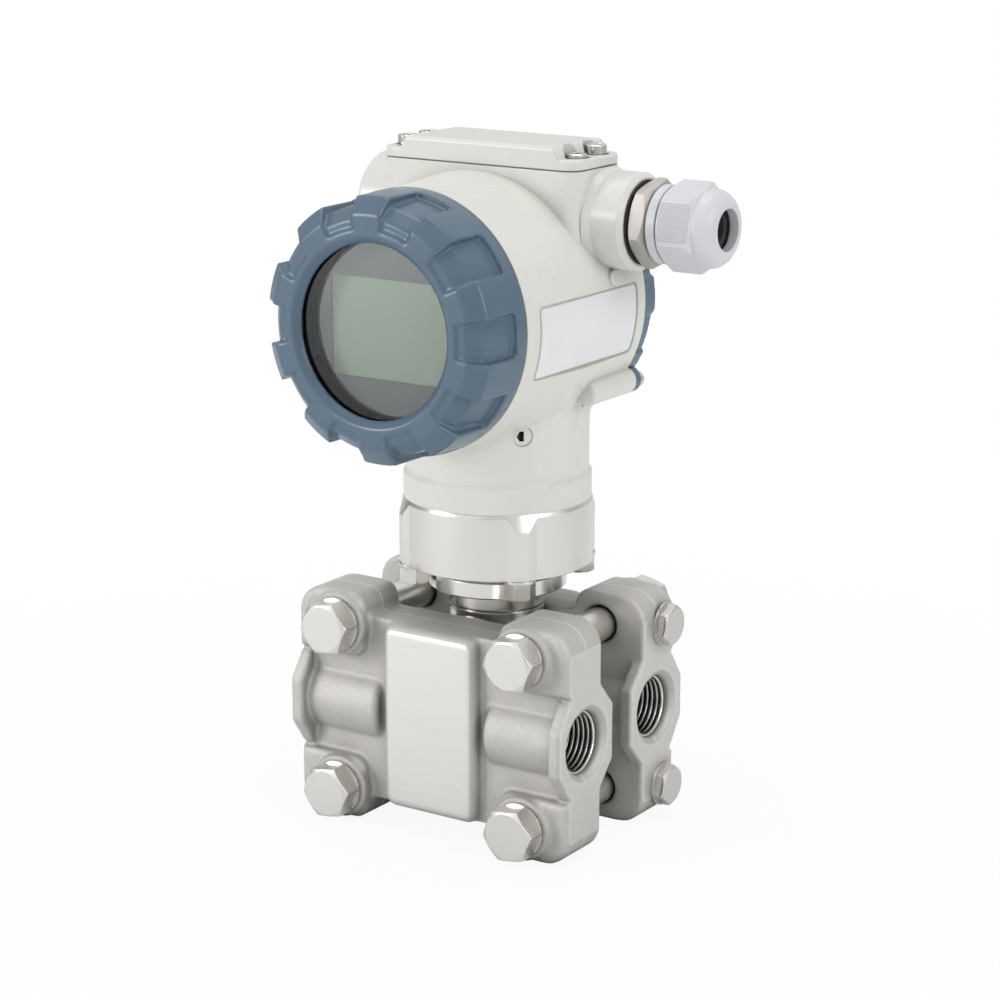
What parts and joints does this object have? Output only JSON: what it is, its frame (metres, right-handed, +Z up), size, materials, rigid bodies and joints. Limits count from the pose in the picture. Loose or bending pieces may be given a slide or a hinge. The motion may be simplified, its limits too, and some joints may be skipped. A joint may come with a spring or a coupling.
{
  "type": "differential pressure transmitter",
  "caption": "Differential pressure transmitter with display: painted two-chamber housing on a stainless neck, over a capsule bolted between two threaded process flanges.",
  "frame": {"origin": "centre of the bounding box's footprint, at the height of the surface it stands on", "axes": "+Z up along the neck; -Y is the side of the display; +X is the side of the cable gland"},
  "size_m": [0.1308, 0.1094, 0.2214],
  "materials": {
    "cast_stainless": "bead-blasted cast stainless steel",
    "bright_stainless": "turned and machined stainless steel",
    "brushed_stainless": "brushed stainless steel",
    "light_grey_paint": "satin powder coat on die-cast aluminium",
    "blue_grey_paint": "satin powder coat on die-cast aluminium",
    "white_ptfe": "matte fluoropolymer",
    "black_rubber": "matte rubber",
    "dark_rubber_seal": "matte rubber",
    "dark_plastic": "moulded plastic",
    "label_film": "bare pale plate",
    "clear_glass": "clear toughened glass",
    "faceplate_grey": "matte printed plastic",
    "display_green": "unlit reflective display cell",
    "brass_plated": "nickel-plated brass",
    "nickel_plated": "matte nickel plating",
    "pale_grey_nylon": "moulded polyamide"
  },
  "bodies": {
    "measuring_cell": {"process_flange_front": "cast_stainless", "process_flange_rear": "cast_stainless", "tie_bolts": "bright_stainless", "tie_bolt_nuts": "bright_stainless", "flange_end_plugs": "bright_stainless", "sensor_capsule": "bright_stainless", "diaphragm_front": "bright_stainless", "diaphragm_rear": "bright_stainless", "process_gasket_front": "white_ptfe", "process_gasket_rear": "white_ptfe", "sensor_stem": "bright_stainless"},
    "head": {"clamp_collar": "brushed_stainless", "clamp_collar_screws": "bright_stainless", "neck_seal": "black_rubber", "housing": "light_grey_paint", "top_lid": "light_grey_paint", "lid_gasket": "black_rubber", "top_lid_screws": "bright_stainless", "label_plate": "label_film", "housing_lock_screw": "bright_stainless", "conduit_plug": "bright_stainless", "rear_cover_clamp": "blue_grey_paint", "cover_clamp_screw": "bright_stainless", "display_module": "faceplate_grey", "lcd_panel": "display_green", "electronics_module": "dark_plastic", "terminal_block": "dark_plastic", "terminal_screws": "brass_plated", "gland_washer": "black_rubber", "gland_lock_nut": "nickel_plated", "gland_body": "pale_grey_nylon"},
    "front_cover_carrier": {"front_cover_seal": "black_rubber"},
    "front_cover_turning": {"front_cover": "blue_grey_paint", "window_gasket": "black_rubber", "front_window": "clear_glass", "window_retainer": "dark_plastic"},
    "rear_cover_carrier": {"rear_cover_seal": "black_rubber"},
    "rear_cover_turning": {"rear_cover": "blue_grey_paint"},
    "gland_carrier": {"gland_seal": "dark_rubber_seal"},
    "gland_cap_turning": {"gland_cap": "pale_grey_nylon"},
    "zero_key_body": {"zero_key": "dark_plastic"},
    "span_key_body": {"span_key": "dark_plastic"}
  },
  "joints": [
    {"name": "housing_turn", "type": "hinge", "parent": "measuring_cell", "child": "head", "pos_m": [-0.01355, 0.0147, 0.1184], "axis": [0, 0, 1], "range_deg": [-180, 180]},
    {"name": "front_cover_travel", "type": "slide", "parent": "head", "child": "front_cover_carrier", "axis": [0, -1, 0], "range_m": [0, 0.0102]},
    {"name": "front_cover_turn", "type": "hinge", "parent": "front_cover_carrier", "child": "front_cover_turning", "pos_m": [-0.01355, -0.0403, 0.1697], "axis": [0, -1, 0], "range_deg": [0, 1800]},
    {"name": "rear_cover_travel", "type": "slide", "parent": "head", "child": "rear_cover_carrier", "axis": [0, 1, 0], "range_m": [0, 0.0102]},
    {"name": "rear_cover_turn", "type": "hinge", "parent": "rear_cover_carrier", "child": "rear_cover_turning", "pos_m": [-0.01355, 0.0397, 0.1697], "axis": [0, 1, 0], "range_deg": [0, 1800]},
    {"name": "gland_cap_travel", "type": "slide", "parent": "head", "child": "gland_carrier", "axis": [1, 0, 0], "range_m": [0, 0.0031]},
    {"name": "gland_cap_turn", "type": "hinge", "parent": "gland_carrier", "child": "gland_cap_turning", "pos_m": [0.05645, 0.0221, 0.1977], "axis": [1, 0, 0], "range_deg": [0, 720]},
    {"name": "zero_key_press", "type": "slide", "parent": "head", "child": "zero_key_body", "axis": [0, 0, -1], "range_m": [0, 0.0012], "stiffness_N_per_m": 400, "springref_m": -0.0004},
    {"name": "span_key_press", "type": "slide", "parent": "head", "child": "span_key_body", "axis": [0, 0, -1], "range_m": [0, 0.0012], "stiffness_N_per_m": 400, "springref_m": -0.0004}
  ],
  "couplings": [
    {"joint": "front_cover_travel", "follows": "front_cover_turn", "m_per_rad": 0.00031831},
    {"joint": "rear_cover_travel", "follows": "rear_cover_turn", "m_per_rad": 0.00031831},
    {"joint": "gland_cap_travel", "follows": "gland_cap_turn", "m_per_rad": 0.00023873}
  ]
}
